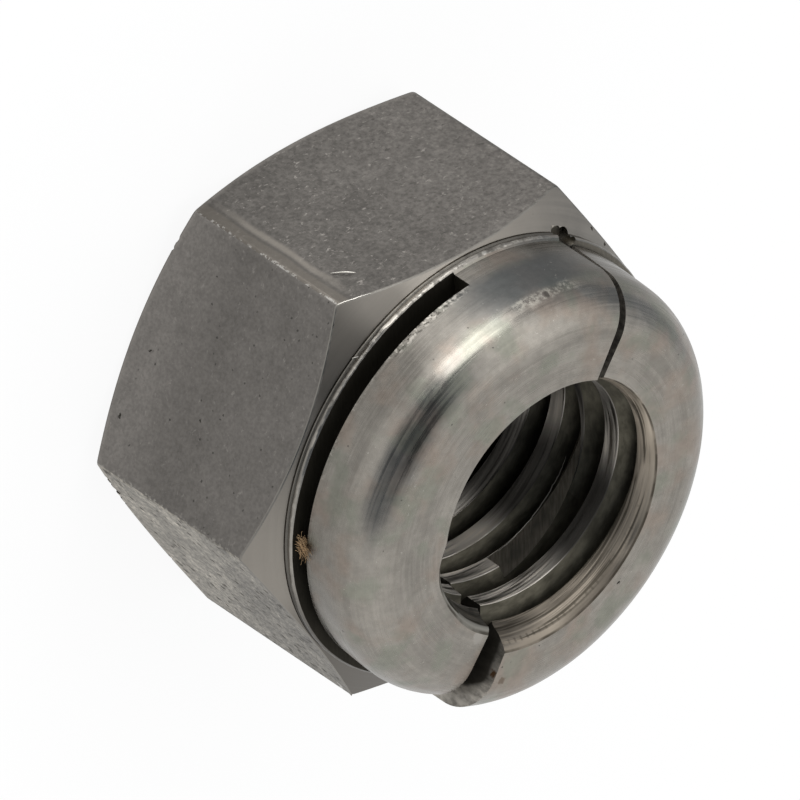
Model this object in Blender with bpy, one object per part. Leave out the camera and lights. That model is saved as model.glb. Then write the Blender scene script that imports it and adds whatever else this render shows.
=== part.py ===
"""All-metal lock nut: a hexagon nut with a slotted collar whose two arms are bent in to grip the bolt.

The thread axis is +Z and the bearing face lies at z = 0. A slit saws the collar in two halves. A cut from
the side frees most of each half from the hexagon, so that it becomes an arm. Each arm is left bent down
and inwards at its free end, which puts its thread slightly out of step with the hexagon's.
Azimuths are measured from +X, where one corner of the hexagon lies.
"""

import math

import bmesh
import bpy
from mathutils import Matrix, Vector

MM = 0.001

# Hexagon
ACROSS_FLATS = 19.0 * MM
HEXAGON_HEIGHT = 10.05 * MM  # bearing face to the foot of the collar
BEARING_FACE_DIAMETER = 18.05 * MM
BEARING_CHAMFER_ANGLE = math.radians(24.0)
COLLAR_CHAMFER_ANGLE = math.radians(28.8)
CORNER_BREAK = 0.12 * MM

# Collar
COLLAR_DIAMETER = 18.6 * MM
COLLAR_HEIGHT = 4.8 * MM
COLLAR_ROUNDING = 1.93 * MM
LIP_FLARE = 0.1 * MM

# Bore, at the thread's minor diameter
BORE_DIAMETER = 10.5 * MM
COLLAR_MOUTH_DIAMETER = 11.3 * MM
BEARING_MOUTH_DIAMETER = 12.8 * MM
MOUTH_ANGLE = math.radians(45.0)

# Slit across the collar
SLIT_WIDTH = 0.82 * MM
SLIT_AZIMUTH = math.radians(60.5)
SLIT_OFFSET = 0.32 * MM
SLIT_RUNOUT = 0.12 * MM  # how far the saw ran on into the hexagon

# Cuts that free the arms
ARM_ROOT_SPAN = math.radians(34.8)
ARM_SLOT_HEIGHT = 0.95 * MM
LIP_HEIGHT = 0.47 * MM

# How each arm is bent: the drop and the inward shift at its tip, and its tilt
LEFT_ARM_DROP = 0.55 * MM
LEFT_ARM_SHIFT = 0.17 * MM
LEFT_ARM_TILT = 0.09
RIGHT_ARM_DROP = 0.32 * MM
RIGHT_ARM_SHIFT = 0.23 * MM
RIGHT_ARM_TILT = -0.056
BEND_EXPONENT = 1.05

# Fineness of the facets
SEGMENTS = 96
ROUNDING_STEPS = 7

# What follows from the sizes above
CORNER_RADIUS = ACROSS_FLATS / math.sqrt(3.0)
COLLAR_RADIUS = COLLAR_DIAMETER / 2.0
LIP_RADIUS = COLLAR_RADIUS + LIP_FLARE
BORE_RADIUS = BORE_DIAMETER / 2.0
TOTAL_HEIGHT = HEXAGON_HEIGHT + COLLAR_HEIGHT
SLOT_FLOOR = HEXAGON_HEIGHT + LIP_HEIGHT
SLOT_CEILING = SLOT_FLOOR + ARM_SLOT_HEIGHT
SLIT_FLOOR = HEXAGON_HEIGHT - SLIT_RUNOUT
OVERSHOOT = 1.0 * MM  # how far a cutter runs past what it cuts
TOUCH = 0.001 * MM


def clear_scene():
    """Empty the file of objects."""
    for item in list(bpy.data.objects):
        bpy.data.objects.remove(item, do_unlink=True)


def link_mesh(name, builder):
    """Turn a bmesh into an object of that name and link it to the scene."""
    bmesh.ops.recalc_face_normals(builder, faces=builder.faces)
    mesh = bpy.data.meshes.new(name)
    builder.to_mesh(mesh)
    builder.free()
    item = bpy.data.objects.new(name, mesh)
    bpy.context.scene.collection.objects.link(item)
    return item


def turned(name, profile):
    """Turn an open profile of (radius, height) points, which starts and ends on the axis, into a solid."""
    builder = bmesh.new()
    points = [builder.verts.new((radius, 0.0, height)) for radius, height in profile]
    edges = [builder.edges.new(pair) for pair in zip(points, points[1:])]
    bmesh.ops.spin(
        builder,
        geom=points + edges,
        cent=(0.0, 0.0, 0.0),
        axis=(0.0, 0.0, 1.0),
        angle=math.tau,
        steps=SEGMENTS,
        use_merge=True,
    )
    bmesh.ops.remove_doubles(builder, verts=builder.verts, dist=TOUCH)
    return link_mesh(name, builder)


def hexagon_prism():
    """The hexagon bar that the nut is cut from, with the break on its six long edges."""
    builder = bmesh.new()
    azimuths = [math.radians(60.0 * corner) for corner in range(6)]
    loops = [
        [builder.verts.new((CORNER_RADIUS * math.cos(a), CORNER_RADIUS * math.sin(a), z)) for a in azimuths]
        for z in (-OVERSHOOT, TOTAL_HEIGHT + OVERSHOOT)
    ]
    for loop in loops:
        builder.faces.new(loop)
    long_edges = []
    for side in range(6):
        following = (side + 1) % 6
        builder.faces.new((loops[0][side], loops[0][following], loops[1][following], loops[1][side]))
        long_edges.append(builder.edges.get((loops[0][side], loops[1][side])))
    bmesh.ops.bevel(builder, geom=long_edges, offset=CORNER_BREAK, segments=2, profile=0.5, affect="EDGES")
    return link_mesh("lock_nut", builder)


def chamfer_cones():
    """The solid that both chamfers leave of the hexagon: a flat-topped cone each way from a wide belt."""
    belt = CORNER_RADIUS + OVERSHOOT
    bearing_radius = BEARING_FACE_DIAMETER / 2.0
    rise = (belt - bearing_radius) * math.tan(BEARING_CHAMFER_ANGLE)
    fall = (belt - LIP_RADIUS) * math.tan(COLLAR_CHAMFER_ANGLE)
    return turned("chamfer_cones", [
        (0.0, 0.0),
        (bearing_radius, 0.0),
        (belt, rise),
        (belt, HEXAGON_HEIGHT - fall),
        (LIP_RADIUS, HEXAGON_HEIGHT),
        (0.0, HEXAGON_HEIGHT),
    ])


def collar():
    """The turned collar on its lip, with the large round of its outer edge."""
    centre_radius = COLLAR_RADIUS - COLLAR_ROUNDING
    centre_height = TOTAL_HEIGHT - COLLAR_ROUNDING
    profile = [
        (0.0, HEXAGON_HEIGHT - OVERSHOOT),
        (LIP_RADIUS, HEXAGON_HEIGHT - OVERSHOOT),
        (LIP_RADIUS, SLOT_FLOOR),
        (COLLAR_RADIUS, SLOT_CEILING),
    ]
    for step in range(ROUNDING_STEPS + 1):
        angle = math.radians(90.0) * step / ROUNDING_STEPS
        profile.append((
            centre_radius + COLLAR_ROUNDING * math.cos(angle),
            centre_height + COLLAR_ROUNDING * math.sin(angle),
        ))
    profile.append((0.0, TOTAL_HEIGHT))
    return turned("collar_blank", profile)


def bore():
    """The bore with a countersunk mouth at each face."""
    top_radius = COLLAR_MOUTH_DIAMETER / 2.0
    base_radius = BEARING_MOUTH_DIAMETER / 2.0
    top_depth = (top_radius - BORE_RADIUS) / math.tan(MOUTH_ANGLE)
    base_depth = (base_radius - BORE_RADIUS) / math.tan(MOUTH_ANGLE)
    past = OVERSHOOT * math.tan(MOUTH_ANGLE)
    return turned("bore_cutter", [
        (0.0, -OVERSHOOT),
        (base_radius + past, -OVERSHOOT),
        (BORE_RADIUS, base_depth),
        (BORE_RADIUS, TOTAL_HEIGHT - top_depth),
        (top_radius + past, TOTAL_HEIGHT + OVERSHOOT),
        (0.0, TOTAL_HEIGHT + OVERSHOOT),
    ])


def arm_slot(name, start, end):
    """The cut that frees an arm: a flat sector from the start azimuth to the end azimuth, past the wall."""
    pitch = math.tau / SEGMENTS
    inner = BORE_RADIUS - OVERSHOOT
    outer = (LIP_RADIUS + OVERSHOOT) / math.cos(pitch / 2.0)
    azimuths = [start]
    azimuths += [step * pitch for step in range(math.floor(start / pitch) + 1, math.ceil(end / pitch))]
    azimuths.append(end)
    builder = bmesh.new()
    loops = []
    for azimuth in azimuths:
        along = Vector((math.cos(azimuth), math.sin(azimuth), 0.0))
        loops.append([
            builder.verts.new(along * radius + Vector((0.0, 0.0, height)))
            for radius, height in (
                (inner, SLOT_FLOOR), (outer, SLOT_FLOOR), (outer, SLOT_CEILING), (inner, SLOT_CEILING),
            )
        ])
    for near, far in zip(loops, loops[1:]):
        for side in range(4):
            following = (side + 1) % 4
            builder.faces.new((near[side], near[following], far[following], far[side]))
    builder.faces.new(loops[0])
    builder.faces.new(loops[-1])
    return link_mesh(name, builder)


def slit_normal():
    """The direction across the slit, from the right half of the collar to the left half."""
    return Vector((-math.sin(SLIT_AZIMUTH), math.cos(SLIT_AZIMUTH), 0.0))


def slit():
    """The saw cut across the whole collar, a little to one side of the axis."""
    builder = bmesh.new()
    height = TOTAL_HEIGHT + OVERSHOOT - SLIT_FLOOR
    size = Matrix.Diagonal((2.0 * (CORNER_RADIUS + OVERSHOOT), SLIT_WIDTH, height, 1.0))
    centre = slit_normal() * -SLIT_OFFSET + Vector((0.0, 0.0, SLIT_FLOOR + height / 2.0))
    turn = Matrix.Rotation(SLIT_AZIMUTH, 4, "Z")
    bmesh.ops.create_cube(builder, size=1.0, matrix=Matrix.Translation(centre) @ turn @ size)
    return link_mesh("slit_cutter", builder)


def combine(target, tool, operation):
    """Join the tool to the target, or cut it away, and remove the tool."""
    step = target.modifiers.new(tool.name, "BOOLEAN")
    step.object = tool
    step.operation = operation
    step.solver = "EXACT"
    bpy.context.view_layer.update()
    graph = bpy.context.evaluated_depsgraph_get()
    result = bpy.data.meshes.new_from_object(target.evaluated_get(graph))
    target.modifiers.clear()
    spent = target.data
    target.data = result
    bpy.data.meshes.remove(spent)
    bpy.data.objects.remove(tool, do_unlink=True)


def bend(point, root, drop, shift, tilt):
    """Move a point of an arm as the arm's bend does. The bend grows from the root to the tip."""
    radius = math.hypot(point.x, point.y)
    azimuth = math.atan2(point.y, point.x) % math.tau
    travelled = (azimuth - root) % math.tau
    span = math.pi - ARM_ROOT_SPAN
    if travelled > span + ARM_ROOT_SPAN / 2.0:
        return
    share = (travelled / span) ** BEND_EXPONENT
    middle_radius = (BORE_RADIUS + COLLAR_RADIUS) / 2.0
    middle_height = (SLOT_CEILING + TOTAL_HEIGHT) / 2.0
    moved = radius + share * (tilt * (point.z - middle_height) - shift)
    height = point.z - share * (drop + tilt * (radius - middle_radius))
    point.x *= moved / radius
    point.y *= moved / radius
    point.z = height


def bend_arms(nut):
    """Bend the two arms of the collar down and inwards."""
    across = slit_normal()
    root = SLIT_AZIMUTH + ARM_ROOT_SPAN
    for vertex in nut.data.vertices:
        point = vertex.co
        if point.z < SLOT_CEILING - TOUCH:
            continue
        if point.dot(across) > -SLIT_OFFSET:
            bend(point, root, LEFT_ARM_DROP, LEFT_ARM_SHIFT, LEFT_ARM_TILT)
        else:
            bend(point, root + math.pi, RIGHT_ARM_DROP, RIGHT_ARM_SHIFT, RIGHT_ARM_TILT)
    nut.data.update()


def steel():
    """Plain stainless steel, dulled by handling."""
    material = bpy.data.materials.new("stainless_steel")
    material.use_nodes = True
    shader = material.node_tree.nodes["Principled BSDF"]
    shader.inputs["Base Color"].default_value = (0.30, 0.29, 0.265, 1.0)
    shader.inputs["Metallic"].default_value = 1.0
    shader.inputs["Roughness"].default_value = 0.38
    return material


def lock_nut():
    """The whole nut, which is one solid."""
    nut = hexagon_prism()
    combine(nut, chamfer_cones(), "INTERSECT")
    combine(nut, collar(), "UNION")
    combine(nut, bore(), "DIFFERENCE")
    root = SLIT_AZIMUTH + ARM_ROOT_SPAN
    tip = SLIT_AZIMUTH + math.pi
    combine(nut, arm_slot("left_arm_slot", root, tip), "DIFFERENCE")
    combine(nut, arm_slot("right_arm_slot", root + math.pi, tip + math.pi), "DIFFERENCE")
    combine(nut, slit(), "DIFFERENCE")
    bend_arms(nut)
    nut.data.materials.clear()
    nut.data.materials.append(steel())
    nut.data.shade_smooth()
    nut.data.set_sharp_from_angle(angle=math.radians(18.0))
    return nut


clear_scene()
lock_nut()
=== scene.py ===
"""Looks of the all-metal lock nut: its thread, worn edges, burrs and steel finishes, in a plain studio.

Shapes are in metres in the part's own frame: the thread axis is +Z and the nut stands on its bearing face
at z = 0. Azimuths are in degrees from +X, where one corner of the hexagon lies. Finishes work in millimetres,
on the place that each bit of metal had before the arms were bent.
"""

import logging
import math
import random
from collections.abc import Sequence
from dataclasses import astuple, dataclass, field
from enum import Enum

import bpy
from mathutils import Matrix, Vector, noise

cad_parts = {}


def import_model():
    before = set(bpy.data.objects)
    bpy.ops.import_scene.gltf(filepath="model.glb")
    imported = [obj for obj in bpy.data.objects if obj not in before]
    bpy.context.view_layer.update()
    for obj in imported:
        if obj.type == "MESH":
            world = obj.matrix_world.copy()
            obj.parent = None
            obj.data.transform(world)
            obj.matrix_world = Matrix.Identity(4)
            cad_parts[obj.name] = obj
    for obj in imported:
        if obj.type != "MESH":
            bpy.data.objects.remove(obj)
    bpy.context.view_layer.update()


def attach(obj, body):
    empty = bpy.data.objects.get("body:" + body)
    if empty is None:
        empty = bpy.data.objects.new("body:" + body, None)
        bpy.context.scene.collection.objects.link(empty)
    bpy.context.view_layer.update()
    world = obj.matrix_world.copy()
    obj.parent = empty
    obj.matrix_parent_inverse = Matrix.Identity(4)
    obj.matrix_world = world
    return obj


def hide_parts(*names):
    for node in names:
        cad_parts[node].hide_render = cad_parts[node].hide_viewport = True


LOG = logging.getLogger("lock_nut")
MM = 0.001
MADE_AT = "made_at"

Piece = bpy.types.Object
Material = bpy.types.Material
Socket = bpy.types.NodeSocket
Colour = tuple[float, float, float]
Point = tuple[float, float, float]

# Sizes in millimetres that shapes and finishes share.
TOP = 14.85
HEX_TOP = 10.05
COLLAR_RADIUS = 9.3
ROUNDING = 1.93
SLOT_CEILING = 11.47
SLIT_AZIMUTH = 60.5
SLIT_OFFSET = 0.32

WHITE = (1.0, 1.0, 1.0)
BARE = (0.5, 0.48, 0.44)
CRUMBS = (0.05, 0.046, 0.04)
DARK = (0.05, 0.044, 0.036)
# painted shade in the round pecks where the slit runs out
HOLLOW_SHADE = (0.04, 0.034, 0.024)


def polar(radius: float, azimuth: float, height: float = 0.0) -> Vector:
    """Give the point at a radius, an azimuth in degrees and a height."""
    turn = math.radians(azimuth)
    return Vector((radius * math.cos(turn), radius * math.sin(turn), height))


def azimuth_of(point: Vector) -> float:
    """Give the azimuth of a point, from -180 to 180 degrees."""
    return math.degrees(math.atan2(point.y, point.x))


def scaled(colour: Colour, *factors: float) -> Colour:
    """Multiply a colour by one factor, or by one for each channel."""
    return tuple(value * factor for value, factor in zip(colour, factors * 3))


class Cut(Enum):
    """What a Boolean does with its tool."""

    KEEP_SHARED = "INTERSECT"
    JOIN = "UNION"
    TAKE_AWAY = "DIFFERENCE"


class Bench:
    """Operators on one piece at a time."""

    @staticmethod
    def clear() -> None:
        """Leave edit mode and deselect everything."""
        if bpy.context.mode != "OBJECT":
            bpy.ops.object.mode_set(mode="OBJECT")
        bpy.ops.object.select_all(action="DESELECT")

    @staticmethod
    def take(piece: Piece) -> None:
        """Select one piece alone and make it the active one.

        Args:
            piece: The piece.
        """
        Bench.clear()
        piece.select_set(True)
        bpy.context.view_layer.objects.active = piece

    @staticmethod
    def settle(name: str) -> Piece:
        """Name the active piece and move its place into its mesh.

        Args:
            name: The name that the piece and its mesh get.

        Returns:
            The piece, with its object at the origin.
        """
        piece = bpy.context.active_object
        Bench.take(piece)
        piece.name = piece.data.name = name
        bpy.ops.object.transform_apply(location=True, rotation=True, scale=True)
        return piece

    @staticmethod
    def chain(points: Sequence[tuple[float, float]]) -> None:
        """Draw a profile in the XZ plane by extruding one vertex from point to point, and stay in edit mode.

        Args:
            points: Radius and height of each point.
        """
        Bench.clear()
        bpy.ops.mesh.primitive_plane_add(size=MM)
        bpy.ops.object.mode_set(mode="EDIT")
        bpy.ops.mesh.select_all(action="SELECT")
        bpy.ops.mesh.merge(type="CENTER")
        bpy.ops.mesh.select_mode(type="VERT")
        bpy.ops.mesh.select_all(action="SELECT")
        radius, height = points[0]
        bpy.ops.transform.translate(value=(radius, 0.0, height))
        for (near, low), (far, high) in zip(points, points[1:]):
            bpy.ops.mesh.extrude_region_move(TRANSFORM_OT_translate={"value": (far - near, 0.0, high - low)})

    @staticmethod
    def face_out() -> None:
        """Turn every face of the mesh that is being edited outwards."""
        bpy.ops.mesh.select_all(action="SELECT")
        bpy.ops.mesh.normals_make_consistent(inside=False)

    @staticmethod
    def turned(name: str, points: Sequence[tuple[float, float]], segments: int) -> Piece:
        """Turn a profile that starts and ends on the axis into a solid.

        Args:
            name: Name of the piece.
            points: Radius and height of each point of the profile.
            segments: Facets round the axis.

        Returns:
            The closed solid.
        """
        Bench.chain(points)
        bpy.ops.mesh.select_all(action="SELECT")
        bpy.ops.mesh.spin(steps=segments, angle=math.tau, center=(0.0, 0.0, 0.0), axis=(0.0, 0.0, 1.0))
        bpy.ops.mesh.select_all(action="SELECT")
        bpy.ops.mesh.remove_doubles(threshold=0.0004 * MM)
        Bench.face_out()
        return Bench.settle(name)

    @staticmethod
    def apply(piece: Piece, kind: str, **settings: object) -> None:
        """Add a modifier to a piece, set it up and apply it.

        Args:
            piece: The piece, which becomes the active one.
            kind: The modifier's type.
            settings: The modifier's settings.
        """
        step = piece.modifiers.new(kind, kind)
        for name, value in settings.items():
            setattr(step, name, value)
        Bench.take(piece)
        bpy.ops.object.modifier_apply(modifier=step.name)

    @staticmethod
    def combine(target: Piece, tool: Piece, cut: Cut) -> None:
        """Apply a Boolean to a piece, hand the tool's finish to the faces it makes, and remove the tool.

        Args:
            target: The piece that is worked on.
            tool: The piece that it is worked with.
            cut: What happens where the two meet.
        """
        Bench.apply(target, "BOOLEAN", object=tool, operation=cut.value, solver="EXACT", material_mode="TRANSFER")
        bpy.data.objects.remove(tool, do_unlink=True)

    @staticmethod
    def wires(name: str, lines: Sequence[Sequence[tuple[Vector, float]]], radius: float, rounding: int) -> Piece:
        """Draw thin wires.

        Args:
            name: Name of the piece.
            lines: The points of each wire, each with its share of the full radius.
            radius: The full radius.
            rounding: How round the wires are, where 0 makes them square.

        Returns:
            The wires as one piece of closed meshes.
        """
        curve = bpy.data.curves.new(name, "CURVE")
        curve.dimensions = "3D"
        curve.bevel_depth = radius
        curve.bevel_resolution = rounding
        curve.use_fill_caps = True
        for points in lines:
            line = curve.splines.new("POLY")
            line.points.add(len(points) - 1)
            for knot, (place, share) in zip(line.points, points):
                knot.co = (*place, 1.0)
                knot.radius = share
        piece = bpy.data.objects.new(name, curve)
        bpy.context.scene.collection.objects.link(piece)
        Bench.take(piece)
        bpy.ops.object.convert(target="MESH")
        return bpy.context.active_object

    @staticmethod
    def dress(piece: Piece, *finishes: Material) -> Piece:
        """Give a piece its finishes.

        Args:
            piece: The piece.
            finishes: Its finishes, one material slot each.

        Returns:
            The same piece.
        """
        piece.data.materials.clear()
        for finish in finishes:
            piece.data.materials.append(finish)
        return piece


class Tree:
    """The nodes of a material or a world, with a short call for each kind that is used."""

    def __init__(self, holder: Material | bpy.types.World) -> None:
        """Start on the nodes that a new material or world has."""
        holder.use_nodes = True
        self.nodes = holder.node_tree.nodes
        self.links = holder.node_tree.links

    def wire(self, value: object, socket: Socket) -> None:
        """Link or set an input.

        Args:
            value: An output, which is linked, or a number, vector or colour, which is set.
            socket: The input.
        """
        if isinstance(value, Socket):
            self.links.new(value, socket)
        elif isinstance(value, tuple) and socket.type == "RGBA":
            socket.default_value = (*value, 1.0)
        else:
            socket.default_value = value

    def node(self, kind: str, output: int | str, inputs: dict[int | str, object], **settings: object) -> Socket:
        """Add a node.

        Args:
            kind: Its type without the leading ShaderNode.
            output: The output that is wanted.
            inputs: What goes into its inputs.
            settings: Its other settings.

        Returns:
            The output.
        """
        node = self.nodes.new(f"ShaderNode{kind}")
        for name, value in settings.items():
            setattr(node, name, value)
        for name, value in inputs.items():
            self.wire(value, node.inputs[name])
        return node.outputs[output]

    def vector(self, operation: str, *values: object) -> Socket:
        """Vector arithmetic, which gives a number for a length, a distance and a dot product."""
        output = "Value" if operation in {"LENGTH", "DISTANCE", "DOT_PRODUCT"} else "Vector"
        return self.node("VectorMath", output, dict(enumerate(values)), operation=operation)

    def maths(self, operation: str, *values: object) -> Socket:
        """Arithmetic on one or two numbers."""
        return self.node("Math", 0, dict(enumerate(values)), operation=operation)

    def times(self, first: object, *others: object) -> object:
        """Multiply numbers.

        Args:
            first: A number or an output.
            others: What it is multiplied by, in this order.

        Returns:
            The product.
        """
        for other in others:
            first = self.maths("MULTIPLY", first, other)
        return first

    def span(self, value: object, low: float, high: float, start: float = 0.0, end: float = 1.0) -> Socket:
        """Carry a value smoothly from one range to another, and hold it at both ends."""
        limits = {"From Min": low, "From Max": high, "To Min": start, "To Max": end}
        return self.node("MapRange", "Result", {"Value": value, **limits}, interpolation_type="SMOOTHSTEP")

    def sway(self, value: object, amount: float, low: float = 0.3, high: float = 0.7) -> Socket:
        """Turn noise into a factor that stays within an amount of 1."""
        return self.span(value, low, high, 1.0 - amount, 1.0 + amount)

    def band(self, value: object, middle: float, half: float, fade: float) -> Socket:
        """Mask of a band of values, with soft sides."""
        away = self.maths("ABSOLUTE", self.maths("SUBTRACT", value, middle))
        return self.span(away, half, half + fade, 1.0, 0.0)

    def lobe(self, heading: object, toward: Vector, inner: float, outer: float, gain: float = 1.0) -> Socket:
        """Mask of directions.

        Args:
            heading: Direction of length one.
            toward: Middle of the lobe, of length one.
            inner: Degrees from the middle up to which the mask is full.
            outer: Degrees from the middle beyond which it is 0.
            gain: Value of the full mask.

        Returns:
            The mask.
        """
        facing = self.vector("DOT_PRODUCT", heading, toward)
        return self.span(facing, math.cos(math.radians(outer)), math.cos(math.radians(inner)), 0.0, gain)


@dataclass(frozen=True)
class Mark:
    """A stain, pit, chip or patch of painted shade at one place of the nut, with all lengths in millimetres."""

    centre: Point
    radius: float
    colour: Colour
    rough: float = 0.6
    strength: float = 1.0
    ragged: float = 0.2


class Look(Tree):
    """A finish of bare metal that is built up in layers."""

    def __init__(self, name: str, colour: Colour, rough: float) -> None:
        """Start with one colour and roughness."""
        self.material = bpy.data.materials.new(name)
        super().__init__(self.material)
        self.where = self.node("Attribute", "Vector", {}, attribute_name=MADE_AT)
        self.height = self.part("Z")
        self.colour: object = colour
        self.rough: object = rough

    def part(self, axis: str, where: object = None) -> Socket:
        """One coordinate of a place."""
        return self.node("SeparateXYZ", axis, {0: where or self.where})

    def flat(self, where: object = None) -> Socket:
        """A place seen along the thread axis."""
        return self.vector("MULTIPLY", where or self.where, (1.0, 1.0, 0.0))

    def reach(self, where: object = None) -> Socket:
        """Distance of a place from the thread axis."""
        return self.vector("LENGTH", self.flat(where))

    def moved(self, *offset: float) -> Socket:
        """The place moved by an offset, for noise of its own."""
        return self.vector("ADD", self.where, offset)

    def grain(self, scale: float, detail: float = 2.0, roughness: float = 0.5, where: object = None) -> Socket:
        """Noise from 0 to 1, with its scale in features per millimetre."""
        inputs = {"Vector": where or self.where, "Scale": scale, "Detail": detail, "Roughness": roughness}
        return self.node("TexNoise", "Fac", inputs)

    def ragged(self, scale: float, reach: float) -> Socket:
        """Places shifted by noise, so that what is drawn on them has a ragged outline."""
        shift = self.node("TexNoise", "Color", {"Vector": self.where, "Scale": scale, "Detail": 3.0})
        shift = self.vector("MULTIPLY", self.vector("SUBTRACT", shift, (0.5, 0.5, 0.5)), (reach, reach, reach))
        return self.vector("ADD", self.where, shift)

    def rings(self, fineness: float, wander: float, detail: float = 2.0) -> Socket:
        """Noise that hardly changes round the axis, as the tool of a lathe leaves it.

        Args:
            fineness: Lines per millimetre along the profile.
            wander: How much the lines change on the way round.
            detail: Octaves of the noise.

        Returns:
            Noise from 0 to 1.
        """
        heading = self.vector("NORMALIZE", self.flat())
        join = self.node("CombineXYZ", 0, {
            0: self.times(self.part("X", heading), wander),
            1: self.times(self.part("Y", heading), wander),
            2: self.times(self.reach(), fineness),
        })
        inputs = {"Vector": join, "W": self.times(self.height, fineness), "Scale": 1.0, "Detail": detail}
        return self.node("TexNoise", "Fac", inputs, noise_dimensions="4D")

    def pits(self, scale: float, wander: float, low: float, high: float, share: float) -> Socket:
        """Mask of scattered pits.

        Args:
            scale: Pits per millimetre.
            wander: How ragged they are, in millimetres.
            low: Radius of a pit's floor, in cells.
            high: Radius of its rim, in cells.
            share: Value of the mask on the floor.

        Returns:
            The mask, which is 0 outside the pits.
        """
        away = self.node("TexVoronoi", "Distance", {"Vector": self.ragged(9.0, wander), "Scale": scale})
        return self.span(away, low, high, share, 0.0)

    def spot(self, where: object, centre: Point, radius: float, edge: float) -> Socket:
        """Mask of a round spot that fades over a share of its radius."""
        return self.span(self.vector("DISTANCE", where, centre), radius * (1.0 - edge), radius, 1.0, 0.0)

    def sector(self, azimuth: float, inner: float, outer: float) -> Socket:
        """Mask of a sector round the axis, full up to one angle from its middle and 0 beyond another."""
        return self.lobe(self.vector("NORMALIZE", self.flat()), polar(1.0, azimuth), inner, outer)

    def across_slit(self) -> Socket:
        """Distance of a place from the axis across the slit, towards the left arm."""
        return self.vector("DOT_PRODUCT", self.where, polar(1.0, SLIT_AZIMUTH + 90.0))

    def tone(self, factor: object) -> None:
        """Multiply the colour."""
        self.colour = self.node("VectorMath", 0, {0: self.colour, "Scale": factor}, operation="SCALE")

    def paint_light_round_axis(self, painted_light_sectors: Sequence[tuple[float, float, float, float]]) -> None:
        """Paint light and shade onto sectors round the axis, making them lighter or darker.

        Args:
            painted_light_sectors: Middle, inner and outer angle of each sector in degrees, and the factor at its
                middle.
        """
        for azimuth, inner, outer, factor in painted_light_sectors:
            mask = self.sector(azimuth, inner, outer)
            self.tone(self.maths("ADD", 1.0, self.times(mask, factor - 1.0)))

    def lay(self, colour: Colour, rough: float, *masks: object) -> None:
        """Lay another colour and roughness over the finish.

        Args:
            colour: The other colour.
            rough: The other roughness.
            masks: Where it goes. The product of them all is how much of the finish it hides.
        """
        mask = self.times(*masks)
        self.colour = self.node("Mix", 2, {"Factor": mask, 6: self.colour, 7: colour}, data_type="RGBA")
        self.rough = self.node("Mix", 0, {"Factor": mask, 2: self.rough, 3: rough})

    def roughen(self, amount: object) -> None:
        """Add to the roughness."""
        self.rough = self.maths("ADD", self.rough, amount)

    def mark(self, marks: Sequence[Mark]) -> None:
        """Lay stains, pits, chips and patches of painted shade.

        Args:
            marks: What is laid, in this order.
        """
        for mark in marks:
            place = self.ragged(0.9 / mark.radius, mark.ragged + mark.radius * 0.6)
            self.lay(mark.colour, mark.rough, self.spot(place, mark.centre, mark.radius, 0.5), mark.strength)

    def done(self, height: Socket, depth: float) -> Material:
        """Wire the layers to the shader.

        Args:
            height: Relief of the surface, from 0 to 1.
            depth: Depth of the relief, in millimetres.

        Returns:
            The finished material.
        """
        bump = self.node("Bump", 0, {"Strength": 1.0, "Distance": depth * MM, "Height": height})
        shader = self.nodes["Principled BSDF"]
        layers = {"Base Color": self.colour, "Metallic": 1.0, "Roughness": self.rough, "Normal": bump}
        for name, value in layers.items():
            self.wire(value, shader.inputs[name])
        return self.material


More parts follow.
